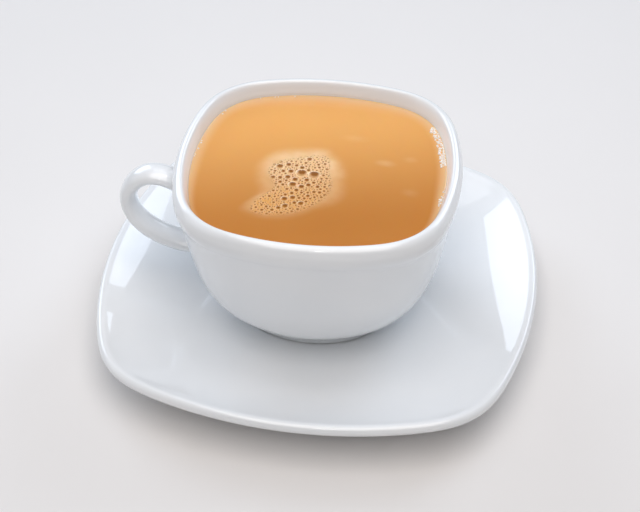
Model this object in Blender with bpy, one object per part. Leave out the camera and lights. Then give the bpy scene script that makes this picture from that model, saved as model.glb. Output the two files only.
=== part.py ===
"""A square-rounded porcelain cup, filled with milky coffee, on its saucer.

Metres, +Z up. The origin is on the table under the middle of the saucer, and
the cup's handle points along -X. Lengths below are millimetres times MM.
"""

import math
import random

import bmesh
import bpy
from mathutils import Matrix, Vector

MM = 0.001
GAP = 0.3 * MM                        # clearance between pieces that touch
SPOKES = 64                           # points round every outline
CORNER_CROWDING = 0.4                 # how much closer the points stand at the corners
SHARP_ANGLE = math.radians(38)

# A square outline: each side and each corner is an arc, as a share of the half width.
CUP_SIDE, CUP_CORNER = 2.04, 0.54
SAUCER_SIDE, SAUCER_CORNER = 1.88, 0.37

# Saucer
SAUCER_HALF = 75.0 * MM
SAUCER_HEIGHT = 18.0 * MM
SAUCER_THICK = 4.2 * MM
WELL_HALF = 27.0 * MM                 # round flat middle that the cup stands on
WELL_HEIGHT = 6.5 * MM
RIM_RADIUS = 2.0 * MM                 # rounding of the saucer's edge
RIM_TURNS = (75, 45, 15, -15, -45)    # bearings of the points on that rounding, in degrees
DISH_CURVE = 2.2                      # how late the dish turns up towards its edge
DISH_STEPS = 9
DISH_HALF = SAUCER_HALF - 1.6 * RIM_RADIUS         # where the dish meets the rounded edge
DISH_HEIGHT = SAUCER_HEIGHT - 0.4 * RIM_RADIUS
SQUARE_HALF = 0.93 * SAUCER_HALF      # the outline is fully square from here out
UNDERSIDE_HALVES = (71.5 * MM, 66.0 * MM, 59.0 * MM, 51.0 * MM, 44.0 * MM)
SAUCER_FOOT_OUT, SAUCER_FOOT_IN = 40.0 * MM, 35.5 * MM
SAUCER_RECESS = 2.2 * MM
FOOT_CHAMFER = 0.8 * MM

# Cup
CUP_PLACE = (-1.0 * MM, 0.0, 0.0)
CUP_TURN = math.radians(3.0)
CUP_BASE = WELL_HEIGHT + GAP
CUP_TOP = 66.2 * MM
FOOT_HALF = 26.9 * MM
FOOT_HEIGHT = 3.8 * MM
FOOT_RING = 3.4 * MM
FOOT_RECESS = 2.6 * MM
FOOT_ROUND = 0.4 * MM                 # rounding of the ring's lower edges
FOOT_SET_IN = 0.6 * MM                # step between the ring and the body above it
NECK_HALF, NECK_HEIGHT = 46.4 * MM, 57.6 * MM
BODY_FLARE = 0.34                     # share of the widening that is a straight flare
BOWL_CURVE = 6.0                      # how soon the rest of it is reached above the foot
BODY_STEPS, BODY_CROWDING = 12, 1.7   # levels up the wall, closest together at the foot
WALL = 3.8 * MM
CAVITY_SHARES = (0.93, 0.8, 0.66, 0.52, 0.4, 0.29, 0.2, 0.13, 0.075, 0.035, 0.01)
LIP_HALF, LIP_WIDEST = 47.2 * MM, 62.2 * MM
LIP_CREST_HALF = 43.9 * MM
LIP_INNER_HALF, LIP_INNER_HEIGHT = 42.7 * MM, 63.4 * MM
LIP_BULGE = ((0.6, 0.2), (0.9, 0.5), (1.0, 1.0))   # shares outward and upward from the neck

# Handle: (x, z) of its middle line in the cup's frame, from upper to lower root
HANDLE_LINE = ((-43.6, 51.0), (-47.0, 51.6), (-53.0, 53.9), (-59.0, 53.2), (-63.6, 48.6),
               (-64.9, 42.2), (-62.3, 35.0), (-56.2, 29.4), (-48.5, 26.2), (-43.0, 25.6), (-38.9, 26.6))
HANDLE_DEEP, HANDLE_WIDE = 2.9 * MM, 4.8 * MM      # half sizes of the oval section
HANDLE_FLARE_TOP, HANDLE_FLARE_LOW = 1.4 * MM, 1.0 * MM
HANDLE_FLARE_RUN = 6.0 * MM
HANDLE_SIDES = 14

# Drink and froth
COFFEE_LEVEL = 60.4 * MM
MENISCUS_RISE, MENISCUS_RUN = 0.5 * MM, 2.2 * MM
FROTH_PLACE = (-7.0 * MM, -7.0 * MM)
# Reach of the froth patch from its middle: (bearing in degrees, millimetres)
FROTH_REACH = ((-132, 19.6), (-124, 22.3), (-96, 18.6), (-60, 14.8), (-23, 13.3), (10, 12.8),
               (38, 13.4), (62, 18.2), (74, 17.6), (100, 14.6), (146, 13.7), (186, 9.6),
               (214, 10.4))
FROTH_DEPTH = 1.2 * MM                # how far the patch sinks into the drink
FROTH_RISE = 0.3 * MM                 # and how far it stands above it
FROTH_EDGE = 1.2 * MM                 # width of its sloping margin
# Largest bubbles: (x, y, radius) in millimetres
LARGE_BUBBLES = ((-6.2, -2.4, 1.75), (-2.1, -3.0, 1.85), (-8.3, -9.0, 1.3), (-14.0, -0.2, 1.3),
                 (-5.1, -9.6, 1.1), (-8.6, -20.2, 1.05), (-9.6, -16.7, 1.0), (-3.9, -18.1, 1.0))
SMALL_BUBBLES = 34
SMALL_BUBBLE_RADIUS = (0.55 * MM, 0.9 * MM)
BUBBLE_SPACE = 0.15 * MM              # least space between two bubbles
FINE_BUBBLE_RADIUS = 1.5 * MM         # larger ones get finer facets
BUBBLE_RISE = 0.4                     # height of a bubble's dome as a share of its radius
BUBBLE_SEED = 7

PORCELAIN = ((0.80, 0.82, 0.84), 0.08)
COFFEE = ((0.66, 0.33, 0.12), 0.12)
FROTH = ((0.76, 0.50, 0.27), 0.35)


def clear_scene():
    for thing in list(bpy.data.objects):
        bpy.data.objects.remove(thing, do_unlink=True)


def make_material(name, colour, roughness):
    material = bpy.data.materials.new(name)
    material.use_nodes = True
    shader = material.node_tree.nodes["Principled BSDF"]
    shader.inputs["Base Color"].default_value = (*colour, 1.0)
    shader.inputs["Roughness"].default_value = roughness
    shader.inputs["Metallic"].default_value = 0.0
    return material


def make_object(name, bm, finish):
    """Turn a bmesh into a named, smooth shaded object with its own material."""
    bmesh.ops.recalc_face_normals(bm, faces=bm.faces)
    mesh = bpy.data.meshes.new(name)
    bm.to_mesh(mesh)
    bm.free()
    mesh.shade_smooth()
    mesh.set_sharp_from_angle(angle=SHARP_ANGLE)
    thing = bpy.data.objects.new(name, mesh)
    bpy.context.collection.objects.link(thing)
    thing.data.materials.append(make_material(name, *finish))
    return thing


def blend(low, high, share):
    return low + (high - low) * share


def clamp(value):
    return min(max(value, 0.0), 1.0)


def square_reach(bearing, half, side, corner):
    """Distance from the middle to a square outline whose sides and corners are arcs."""
    side_centre = half - side
    corner_centre = (side_centre + math.sqrt(2 * (side - corner) ** 2 - side_centre ** 2)) / 2
    join = math.atan2(corner_centre, corner_centre - side_centre)
    join_bearing = math.atan2(side * math.sin(join), side_centre + side * math.cos(join))
    quarter = math.pi / 2
    local = abs((bearing + quarter / 2) % quarter - quarter / 2)
    if local < join_bearing:
        return side_centre * math.cos(local) + math.sqrt(side ** 2 - (side_centre * math.sin(local)) ** 2)
    diagonal = corner_centre * math.sqrt(2)
    off = local - quarter / 2
    return diagonal * math.cos(off) + math.sqrt(corner ** 2 - (diagonal * math.sin(off)) ** 2)


def spoke_bearing(spoke):
    """Bearing of one of the points round an outline, which crowd at the four corners."""
    even = 2 * math.pi * spoke / SPOKES
    return even + CORNER_CROWDING * math.sin(4 * even) / 4


def outline(half, height, squareness, shape, inset=0.0):
    """Points of one level: a blend of a circle and a square, set in from a larger square."""
    side, corner = shape
    whole = half + inset
    points = []
    for spoke in range(SPOKES):
        bearing = spoke_bearing(spoke)
        square = square_reach(bearing, half, whole * side - inset, whole * corner - inset)
        reach = blend(half, square, squareness)
        points.append((reach * math.cos(bearing), reach * math.sin(bearing), height))
    return points


def loft(bm, levels):
    """Skin closed loops of equal length one after another and cap both ends."""
    loops = [[bm.verts.new(point) for point in level] for level in levels]
    count = len(loops[0])
    for lower, upper in zip(loops, loops[1:]):
        for near in range(count):
            far = (near + 1) % count
            bm.faces.new((lower[near], lower[far], upper[far], upper[near]))
    bm.faces.new(list(reversed(loops[0])))
    bm.faces.new(loops[-1])


def quarter_arc(start, end, steps, flat_first):
    """Quarter ellipse between two (half, height) points, without its start."""
    points = []
    for step in range(1, steps + 1):
        angle = math.pi / 2 * step / steps
        fast, slow = math.sin(angle), 1 - math.cos(angle)
        across, along = (fast, slow) if flat_first else (slow, fast)
        points.append((blend(start[0], end[0], across), blend(start[1], end[1], along)))
    return points


# Saucer ---------------------------------------------------------------------

def dish_height(half):
    """Height of the saucer's upper face at a given half width."""
    share = clamp((half - WELL_HALF) / (DISH_HALF - WELL_HALF))
    return blend(WELL_HEIGHT, DISH_HEIGHT, share ** DISH_CURVE)


def saucer_levels():
    """(half, height) of the saucer from its middle out, over the edge and back."""
    levels = [(WELL_HALF, WELL_HEIGHT)]
    for step in range(1, DISH_STEPS + 1):
        half = blend(WELL_HALF, DISH_HALF, (step / DISH_STEPS) ** 0.8)
        levels.append((half, dish_height(half)))
    middle = Vector((SAUCER_HALF - RIM_RADIUS, SAUCER_HEIGHT - RIM_RADIUS))
    for degrees in RIM_TURNS:
        turn = math.radians(degrees)
        levels.append(tuple(middle + RIM_RADIUS * Vector((math.cos(turn), math.sin(turn)))))
    for half in UNDERSIDE_HALVES:
        levels.append((half, dish_height(half) - SAUCER_THICK))
    foot_top = dish_height(SAUCER_FOOT_OUT) - SAUCER_THICK
    levels.append((SAUCER_FOOT_OUT + FOOT_CHAMFER, foot_top))
    levels.append((SAUCER_FOOT_OUT, FOOT_CHAMFER))
    levels.append((SAUCER_FOOT_OUT - FOOT_CHAMFER, 0.0))
    levels.append((SAUCER_FOOT_IN + FOOT_CHAMFER, 0.0))
    levels.append((SAUCER_FOOT_IN, FOOT_CHAMFER))
    levels.append((SAUCER_FOOT_IN - FOOT_CHAMFER, SAUCER_RECESS))
    return levels


def build_saucer():
    bm = bmesh.new()
    rings = []
    for half, height in saucer_levels():
        squareness = clamp((half - WELL_HALF) / (SQUARE_HALF - WELL_HALF))
        rings.append(outline(half, height, squareness, (SAUCER_SIDE, SAUCER_CORNER)))
    loft(bm, rings)
    return make_object("saucer", bm, PORCELAIN)


# Cup ------------------------------------------------------------------------

def body_point(share):
    """(half, height) on the outer wall, from the foot (0) to the neck (1)."""
    bottom = CUP_BASE + FOOT_HEIGHT
    bowl = 1 - (1 - share) ** BOWL_CURVE
    widening = (1 - BODY_FLARE) * bowl + BODY_FLARE * share
    return blend(FOOT_HALF, NECK_HALF, widening), blend(bottom, NECK_HEIGHT, share)


def inner_point(share):
    """(half, height) on the inner wall, one wall thickness in from the outer one."""
    step = 0.002
    before = Vector(body_point(max(share - step, 0.0)))
    after = Vector(body_point(min(share + step, 1.0)))
    along = (after - before).normalized()
    here = Vector(body_point(share))
    return here.x - along.y * WALL, here.y + along.x * WALL


def cup_squareness(height):
    """Round at the foot, fully square at the lip."""
    return clamp((height - CUP_BASE) / (LIP_WIDEST - CUP_BASE))


def cavity_levels():
    """(half, height) of the hollow from the lip's inner side down to its floor."""
    return [inner_point(share) for share in CAVITY_SHARES]


def foot_levels():
    """(half, height) of the cup's foot ring, from its recess round to the body."""
    foot_top = CUP_BASE + FOOT_HEIGHT
    inner = FOOT_HALF - FOOT_RING
    outer = FOOT_HALF - FOOT_SET_IN
    levels = [(inner - FOOT_ROUND, CUP_BASE + FOOT_RECESS), (inner, CUP_BASE + FOOT_ROUND)]
    levels += [(inner + FOOT_ROUND, CUP_BASE), (outer - FOOT_ROUND, CUP_BASE)]
    levels += [(outer, CUP_BASE + FOOT_ROUND), (outer, foot_top - FOOT_ROUND)]
    return levels


def cup_levels():
    """(half, height, inset) from the foot's recess, up the outside, over the lip and in."""
    shares = [(step / BODY_STEPS) ** BODY_CROWDING for step in range(BODY_STEPS + 1)]
    outside = foot_levels() + [body_point(share) for share in shares]
    neck = outside[-1]
    widest = (LIP_HALF, LIP_WIDEST)
    crest = (LIP_CREST_HALF, CUP_TOP)
    inner = (LIP_INNER_HALF, LIP_INNER_HEIGHT)
    for out, up in LIP_BULGE:
        outside.append((blend(neck[0], widest[0], out), blend(neck[1], widest[1], up)))
    outside += quarter_arc(widest, crest, 4, False)
    inside = quarter_arc(crest, inner, 3, True) + cavity_levels()
    return [(*level, 0.0) for level in outside] + [(*level, WALL) for level in inside]


def cup_outline(half, height, inset):
    return outline(half, height, cup_squareness(height), (CUP_SIDE, CUP_CORNER), inset)


def smooth_path(points, steps):
    """Catmull-Rom curve through the points, as positions with their distance along it."""
    padded = [2 * points[0] - points[1], *points, 2 * points[-1] - points[-2]]
    path = []
    for index in range(1, len(padded) - 2):
        before, start, end, after = padded[index - 1:index + 3]
        for step in range(steps):
            part = step / steps
            path.append(0.5 * (2 * start + (end - before) * part
                               + (2 * before - 5 * start + 4 * end - after) * part ** 2
                               + (3 * start - before - 3 * end + after) * part ** 3))
    path.append(points[-1])
    return path


def handle_levels():
    """Oval sections along the handle's middle line, wider where it meets the wall."""
    line = smooth_path([Vector((x, 0, z)) * MM for x, z in HANDLE_LINE], 2)
    travelled = [0.0]
    for before, after in zip(line, line[1:]):
        travelled.append(travelled[-1] + (after - before).length)
    sections = []
    for index, middle in enumerate(line):
        ahead = (line[min(index + 1, len(line) - 1)] - line[max(index - 1, 0)]).normalized()
        across = Vector((-ahead.z, 0, ahead.x))
        flare = HANDLE_FLARE_TOP * math.exp(-travelled[index] / HANDLE_FLARE_RUN)
        flare += HANDLE_FLARE_LOW * math.exp(-(travelled[-1] - travelled[index]) / HANDLE_FLARE_RUN)
        section = []
        for side in range(HANDLE_SIDES):
            turn = 2 * math.pi * side / HANDLE_SIDES
            sideways = Vector((0, (HANDLE_WIDE + flare) * math.sin(turn), 0))
            section.append(middle + across * (HANDLE_DEEP + flare) * math.cos(turn) + sideways)
        sections.append(section)
    return sections


def build_cup():
    """The cup's wall and foot turned as one, joined with the handle."""
    bm = bmesh.new()
    loft(bm, [cup_outline(*level) for level in cup_levels()])
    cup = make_object("cup", bm, PORCELAIN)
    bm = bmesh.new()
    loft(bm, handle_levels())
    handle = make_object("handle_form", bm, PORCELAIN)
    handle.hide_render = True
    handle.display_type = "WIRE"
    join = cup.modifiers.new("handle", "BOOLEAN")
    join.operation = "UNION"
    join.object = handle
    for thing in (cup, handle):
        thing.location = CUP_PLACE
        thing.rotation_euler = (0, 0, CUP_TURN)
    return cup


# Drink ----------------------------------------------------------------------

def froth_reach(bearing):
    """Distance from the middle of the froth to its edge, smooth all the way round."""
    angles = [math.radians(angle) for angle, _ in FROTH_REACH]
    reaches = [reach * MM for _, reach in FROTH_REACH]
    count = len(angles)
    turn = 2 * math.pi
    local = (bearing - angles[0]) % turn
    index = max(i for i in range(count) if angles[i] - angles[0] <= local)
    places = [index - 1, index, index + 1, index + 2]
    known_angle = [angles[place % count] - angles[0] + turn * (place // count) for place in places]
    known_reach = [reaches[place % count] for place in places]
    span = known_angle[2] - known_angle[1]
    part = (local - known_angle[1]) / span
    leave = (known_reach[2] - known_reach[0]) / (known_angle[2] - known_angle[0]) * span
    arrive = (known_reach[3] - known_reach[1]) / (known_angle[3] - known_angle[1]) * span
    return ((2 * part ** 3 - 3 * part ** 2 + 1) * known_reach[1] + (part ** 3 - 2 * part ** 2 + part) * leave
            + (3 * part ** 2 - 2 * part ** 3) * known_reach[2] + (part ** 3 - part ** 2) * arrive)


def froth_outline(height, inset):
    points = []
    for spoke in range(SPOKES):
        bearing = spoke_bearing(spoke)
        reach = froth_reach(bearing) - inset
        x = FROTH_PLACE[0] + reach * math.cos(bearing)
        y = FROTH_PLACE[1] + reach * math.sin(bearing)
        points.append((x, y, height))
    return points


def placed_cup_outline(half, height, inset):
    """A cup level in world coordinates."""
    place = Matrix.Translation(CUP_PLACE) @ Matrix.Rotation(CUP_TURN, 4, "Z")
    return [tuple(place @ Vector(point)) for point in cup_outline(half, height, inset)]


def inner_half_at(height):
    """Half width of the hollow at a height, from the nearest two of its levels."""
    levels = [(LIP_INNER_HALF, LIP_INNER_HEIGHT)] + cavity_levels()
    for above, below in zip(levels, levels[1:]):
        if below[1] <= height <= above[1]:
            share = (height - below[1]) / (above[1] - below[1])
            return blend(below[0], above[0], share)
    return levels[-1][0]


def build_coffee():
    """The drink up to its level, with a raised edge at the wall and a bed for the froth."""
    bm = bmesh.new()
    levels = []
    for half, height in reversed(cavity_levels()):
        if height < COFFEE_LEVEL - 2 * MENISCUS_RISE:
            levels.append(placed_cup_outline(half - GAP, height + GAP, WALL))
    touch = COFFEE_LEVEL + MENISCUS_RISE
    wall_half = inner_half_at(touch) - GAP
    levels.append(placed_cup_outline(wall_half, touch, WALL))
    for share in (0.3, 0.65, 1.0):
        height = COFFEE_LEVEL + MENISCUS_RISE * (1 - share) ** 2
        levels.append(placed_cup_outline(wall_half - MENISCUS_RUN * share, height, WALL))
    levels.append(froth_outline(COFFEE_LEVEL, -GAP))
    levels.append(froth_outline(COFFEE_LEVEL - FROTH_DEPTH, -GAP))
    loft(bm, levels)
    return make_object("coffee", bm, COFFEE)


def bubble_places():
    """Bubbles spread over the froth, clear of each other: (x, y, radius)."""
    draw = random.Random(BUBBLE_SEED)
    bubbles = [(x * MM, y * MM, radius * MM) for x, y, radius in LARGE_BUBBLES]
    wanted = len(bubbles) + SMALL_BUBBLES
    while len(bubbles) < wanted:
        bearing = draw.uniform(0, 2 * math.pi)
        share = math.sqrt(draw.random())
        radius = draw.uniform(*SMALL_BUBBLE_RADIUS)
        reach = (froth_reach(bearing) - FROTH_EDGE - radius) * share
        x = FROTH_PLACE[0] + reach * math.cos(bearing)
        y = FROTH_PLACE[1] + reach * math.sin(bearing)
        apart = [math.dist((x, y), other[:2]) - radius - other[2] for other in bubbles]
        if min(apart) > BUBBLE_SPACE:
            bubbles.append((x, y, radius))
    return bubbles


def build_froth():
    """A thin patch of froth with its larger bubbles standing proud as domes."""
    top = COFFEE_LEVEL + FROTH_RISE
    bm = bmesh.new()
    loft(bm, [froth_outline(COFFEE_LEVEL - FROTH_DEPTH + GAP, 0.0), froth_outline(COFFEE_LEVEL, 0.0),
              froth_outline(top, FROTH_EDGE)])
    froth = make_object("froth", bm, FROTH)
    bubbles = bpy.data.collections.new("bubbles")
    for x, y, radius in bubble_places():
        bm = bmesh.new()
        detail = 2 if radius > FINE_BUBBLE_RADIUS else 1
        bmesh.ops.create_icosphere(bm, subdivisions=detail, radius=radius)
        dome = Matrix.Translation((x, y, top)) @ Matrix.Diagonal((1, 1, BUBBLE_RISE, 1))
        bmesh.ops.transform(bm, matrix=dome, verts=bm.verts)
        bubble = make_object("bubble", bm, FROTH)
        bpy.context.collection.objects.unlink(bubble)
        bubbles.objects.link(bubble)
    join = froth.modifiers.new("bubbles", "BOOLEAN")
    join.operation = "UNION"
    join.operand_type = "COLLECTION"
    join.collection = bubbles
    apply_modifiers(froth)
    for bubble in list(bubbles.objects):
        bpy.data.objects.remove(bubble, do_unlink=True)
    bpy.data.collections.remove(bubbles)
    return froth


def apply_modifiers(thing):
    """Replace an object's mesh with its evaluated one."""
    bpy.context.view_layer.update()
    evaluated = thing.evaluated_get(bpy.context.evaluated_depsgraph_get())
    mesh = bpy.data.meshes.new_from_object(evaluated)
    thing.modifiers.clear()
    thing.data = mesh


def main():
    clear_scene()
    build_saucer()
    build_cup()
    build_coffee()
    build_froth()


if __name__ == "__main__":
    main()
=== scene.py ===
"""Finish of a square-rounded porcelain cup of milky coffee on its saucer.

Every length is in metres; a number in millimetres is multiplied by MM. The cup's
handle points along -X and the object stands on the plane Z = 0.
"""

import math
import random

import bmesh
import bpy
from mathutils import Matrix, Quaternion, Vector
from mathutils.geometry import delaunay_2d_cdt


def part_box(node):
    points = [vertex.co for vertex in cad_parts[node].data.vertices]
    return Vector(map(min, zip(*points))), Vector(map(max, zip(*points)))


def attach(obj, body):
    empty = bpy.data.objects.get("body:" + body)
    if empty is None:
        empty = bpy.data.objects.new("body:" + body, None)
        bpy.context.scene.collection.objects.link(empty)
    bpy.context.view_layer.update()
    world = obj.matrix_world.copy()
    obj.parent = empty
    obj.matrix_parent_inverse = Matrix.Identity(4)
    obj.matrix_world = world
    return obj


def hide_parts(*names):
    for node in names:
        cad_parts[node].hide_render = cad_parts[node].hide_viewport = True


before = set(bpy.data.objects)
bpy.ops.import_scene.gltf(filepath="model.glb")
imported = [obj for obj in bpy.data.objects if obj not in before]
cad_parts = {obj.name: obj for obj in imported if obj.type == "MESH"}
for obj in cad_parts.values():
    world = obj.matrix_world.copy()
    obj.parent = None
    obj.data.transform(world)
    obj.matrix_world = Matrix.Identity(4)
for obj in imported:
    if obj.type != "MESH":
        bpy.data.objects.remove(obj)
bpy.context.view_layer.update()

bl_info = {
    "name": "Cup of Coffee",
    "version": (1, 0, 0),
    "blender": (4, 5, 0),
    "location": "View3D > Sidebar > Coffee",
    "description": "Builds a glazed porcelain cup and saucer, filled with milky coffee and its froth",
    "category": "Add Mesh",
}

MM = 0.001
CUP_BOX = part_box("cup")
FROTH_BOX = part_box("froth")

# A square outline: each side and each corner is an arc, as a share of the half width.
CUP_SHAPE = (2.04, 0.54)
SAUCER_SHAPE = (1.88, 0.37)
SPOKES = 192  # points round every turned outline
CORNER_CROWDING = 0.4  # how much closer the points stand at the corners
CORNER_STEPS = 5  # along a rounded corner of a profile
EASING = ((-2, 1), (-1, 2), (0, 3), (1, 2), (2, 1))  # (steps aside, weight): eases arc into arc
EASING_STEP = math.radians(3.0)

# Saucer
WELL_HALF, WELL_HEIGHT = 27.0 * MM, 6.5 * MM
SAUCER_THICK = 4.2 * MM
SAUCER_SQUARE = 0.93  # the outline is fully square from this share of its half width out
RIM_RADIUS = 2.0 * MM
RIM_TURNS = range(75, -61, -9)  # bearings of the points on that rounding, in degrees
DISH_CURVE, DISH_STEPS = 2.2, 44  # how late the dish turns up, and its levels
DISH_IN, DISH_DOWN = 1.6, 0.4  # it meets the rim this many rim radii in and down
UNDER_HALF, UNDER_STEPS = 71.5 * MM, 20  # the underside runs from here in
UNDER_END = 3.0 * MM  # and ends this far outside the foot
SAUCER_FOOT_OUT, SAUCER_FOOT_IN = 40.0 * MM, 35.5 * MM
SAUCER_FOOT_BLEND, SAUCER_FOOT_ROUND = 1.2 * MM, 0.8 * MM
SAUCER_RECESS, SAUCER_RECESS_RUN = 2.2 * MM, 4.0 * MM  # how deep, and how far in it is drawn
BARE_HEIGHT = 0.05 * MM  # the glaze is wiped off what lies this low

# Cup
CUP_STAND = Matrix.Translation((-1.0 * MM, 0.0, 0.0)) @ Matrix.Rotation(math.radians(3.0), 4, "Z")
CUP_BASE = CUP_BOX[0].z
FOOT_HALF, FOOT_HEIGHT, FOOT_RING = 26.9 * MM, 4.3 * MM, 3.4 * MM
FOOT_SQUARENESS, FOOT_EASE = 0.42, 7  # the foot is this much squared; how soon that eases off
FOOT_RECESS, FOOT_RECESS_RUN = 2.6 * MM, 3.0 * MM
FOOT_ROUND, FOOT_SET_IN = 0.4 * MM, 0.6 * MM
NECK_HALF, NECK_HEIGHT = 46.4 * MM, 57.6 * MM
BODY_FLARE = 0.34  # share of the widening that is a straight flare
BOWL_CURVE = 6.0  # how soon the rest of it is reached above the foot
BODY_STEPS, BODY_CROWDING = 56, 1.7  # levels up the wall, closest together at the foot
BODY_NEAR, HANDLE_NEAR = 0.002, 0.01  # shares of the wall's height over which its slope is taken
WALL = 3.8 * MM
CAVITY_STEPS, CAVITY_CROWDING = 34, 1.5  # levels of the hollow, closest together at its floor
CAVITY_FLOOR, CAVITY_SPAN = 0.006, 0.96  # where it starts and how high it goes, as a wall's share
LIP_WIDEST = 62.2 * MM
LIP_SWELL = 2.6  # how soon the lip is as wide as that above the neck
LIP_CREST_HALF = 44.4 * MM
LIP_INNER = (42.1 * MM, 61.5 * MM)  # half width and height where its inner side ends
LIP_FALL = 1.9  # 1 falls straight from the crest to there, more is rounder
LIP_STEPS, LIP_TOP_STEPS = 9, 12

# Handle: (x, z) of its middle line in the cup's frame, from upper to lower root
HANDLE_LINE = (
    (-43.6, 51.0), (-47.0, 51.6), (-53.0, 53.9), (-59.0, 53.2), (-63.6, 48.6), (-64.9, 42.2),
    (-62.3, 35.0), (-56.2, 29.4), (-48.5, 26.2), (-43.0, 25.6), (-38.9, 26.6))
HANDLE_DEEP, HANDLE_WIDE = 2.9 * MM, 4.8 * MM
HANDLE_FILLET = 3.0 * MM  # radius where the handle runs into the wall
FILLET_MOST, FILLET_ROUNDS = 0.97, 4  # share of that quarter circle in use; rounds to place a point on it
HANDLE_STEPS, HANDLE_SIDES = 12, 48
SLIVER = 0.02 * MM  # shorter edges are closed where the handle joins the wall

# Drink
COFFEE_LEVEL = 60.4 * MM
MENISCUS_RISE, MENISCUS_RUN = 0.8 * MM, 1.5 * MM
DRINK_RINGS, RING_CROWDING = 64, 1.6  # rings of its surface, closest together at the wall
DRINK_OVERLAP = 0.03 * MM  # it goes this far into the wall, so that no gap shows
MARGIN_WIDTH, MARGIN_FRONT = 4.2 * MM, 36 * MM  # the pale margin, partly the thin drink at the wall and partly a painted reflection of the white wall, weakens from the middle to the front
MARGIN_PALE = (0.35, 0.8)  # how pale it is at the wall, in front and behind
MARGIN_NARROW = 0.4  # share of its width that is left in front
PAINTED_LIGHT_RUN = (-0.3, 1.0, 0.0)  # painted light: the drink is painted lighter to the back and a little to the left, darker in front
PAINTED_LIGHT_FROM, PAINTED_LIGHT_TO = -32 * MM, 36 * MM
# Faint wisps of cream: (x, y, half length, half width in mm, strength)
WISPS = ((20.0, 8.2, 4.6, 2.4, 0.3), (28.0, 11.5, 3.4, 2.2, 0.16), (8.0, 20.0, 7.0, 3.0, 0.12),
         (30.0, -6.0, 4.0, 2.8, 0.12))

# Froth
FROTH_PLACE = (-7.0 * MM, -7.0 * MM)
# Reach from the froth's middle, of its bubbles and of the pale film round them: (degrees, mm)
FROTH_REACH = (
    (-132, 19.6), (-124, 22.3), (-96, 18.6), (-60, 14.8), (-23, 13.3), (10, 12.8), (38, 13.4), (62, 18.2),
    (74, 17.6), (100, 14.6), (146, 13.7), (186, 9.6), (214, 10.4))
HALO_REACH = (
    (-136, 21.9), (-126, 22.8), (-96, 19.6), (-60, 15.6), (-22, 17.1), (13, 16.0), (58, 19.1), (70, 20.4),
    (93, 18.7), (118, 18.4), (134, 17.7), (154, 16.3), (187, 13.8), (214, 14.5))
HALO_FADE = 7.0 * MM
HALO_COVER = (0.32, 0.82)  # how strongly the film covers the drink, in front and behind
HALO_FRONT, HALO_RUN = -8.0 * MM, 14.0 * MM  # it grows from this y on, over this length
FROTH_SIDES = 240  # points round its border
FROTH_RISE, FROTH_EDGE = 0.26 * MM, 4.5 * MM  # its height, reached this far in from the border
FROTH_SUNK = 0.04 * MM  # the border lies this far under the drink's surface
FROTH_LAP, FROTH_BED = 2.0 * MM, 1.5 * MM  # this far in, the drink sinks so far below the froth
FROTH_NET = 0.45 * MM  # pitch of the points between bubbles
NET_BORDER = 0.2 * MM  # they keep this far from the border
NET_CLEAR = 1.5  # and this many radii from a bubble's middle
NET_FINEST = 1e-7  # closer points are merged
FROTH_PALE = (-16 * MM, 6 * MM, 0.6)  # from and to here the froth is painted paler towards the back as painted light, by this much
# Largest bubbles: (x, y, radius) in millimetres
PLACED_BUBBLES = (
    (-6.3, -2.4, 1.75), (-2.1, -2.7, 1.8), (-8.2, -8.8, 1.3), (-14.1, 0, 1.3), (-5.2, -9.4, 1.05),
    (-8.7, -20, 1.06), (-9.5, -16.5, 1.06), (-3.9, -17.9, 1.01), (-7, -15.4, 1.01), (-6, -17.9, 0.74),
    (-10.6, -21.3, 0.8), (-12.4, -22.7, 0.66), (-14.5, -21.4, 0.54), (-9.3, -23.5, 0.53),
    (-7.2, -23.3, 0.46), (-15.6, -23.3, 0.6), (-7.7, -13.2, 0.74), (-9.6, -14.3, 0.6),
    (-6.5, -11.4, 0.81), (-2.3, -13.7, 0.74), (1.1, -11.3, 0.68), (3, -12.3, 0.68), (-0.7, -11.4, 0.68),
    (0, -8.5, 0.75), (-3.1, -8.1, 0.89), (-1.6, -6.6, 0.68), (-12.5, -8, 0.75), (-12.9, -5.8, 0.81),
    (-15.3, -6, 0.95), (-10.5, -5.1, 1.02), (-7.9, -6, 1.04), (-10, -2, 1.04), (-12.5, -2.2, 0.75),
    (-11.4, 1.5, 0.96), (-6.7, 0.6, 0.9), (-8.7, 1.5, 0.69), (-5.1, 5.6, 0.98), (-14.2, 2.6, 0.76),
    (-16.1, 0.8, 0.69), (-1.1, 1.7, 0.55), (-15.2, -2.6, 0.55), (-4.1, -5.6, 0.89), (3.9, -7.3, 0.75),
    (2.2, -3.6, 0.55), (2.2, -6.7, 0.47), (-17.4, -24.4, 0.46), (-16.1, -20.9, 0.46), (-1.3, -15, 0.47),
    (-2.4, -16.7, 0.54), (-6.8, -21, 0.4), (-0.9, -18.9, 0.4), (0.9, -2.2, 0.55), (-4.4, -0.4, 0.69))
# The rest, in turn: (how many, least and most radius and least space between two in mm)
BUBBLE_SORTS = ((34, 0.48, 0.62, 0.26), (130, 0.33, 0.44, 0.16), (260, 0.2, 0.3, 0.12))
BUBBLE_TRIES = 60  # for each bubble, before the rest of its sort are given up
BUBBLE_BORDER = 0.9 * MM  # bubbles keep this far from the froth's border
BUBBLE_SEED = 7
CELL = 2.0 * MM  # bubbles are looked up by squares of this size
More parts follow.
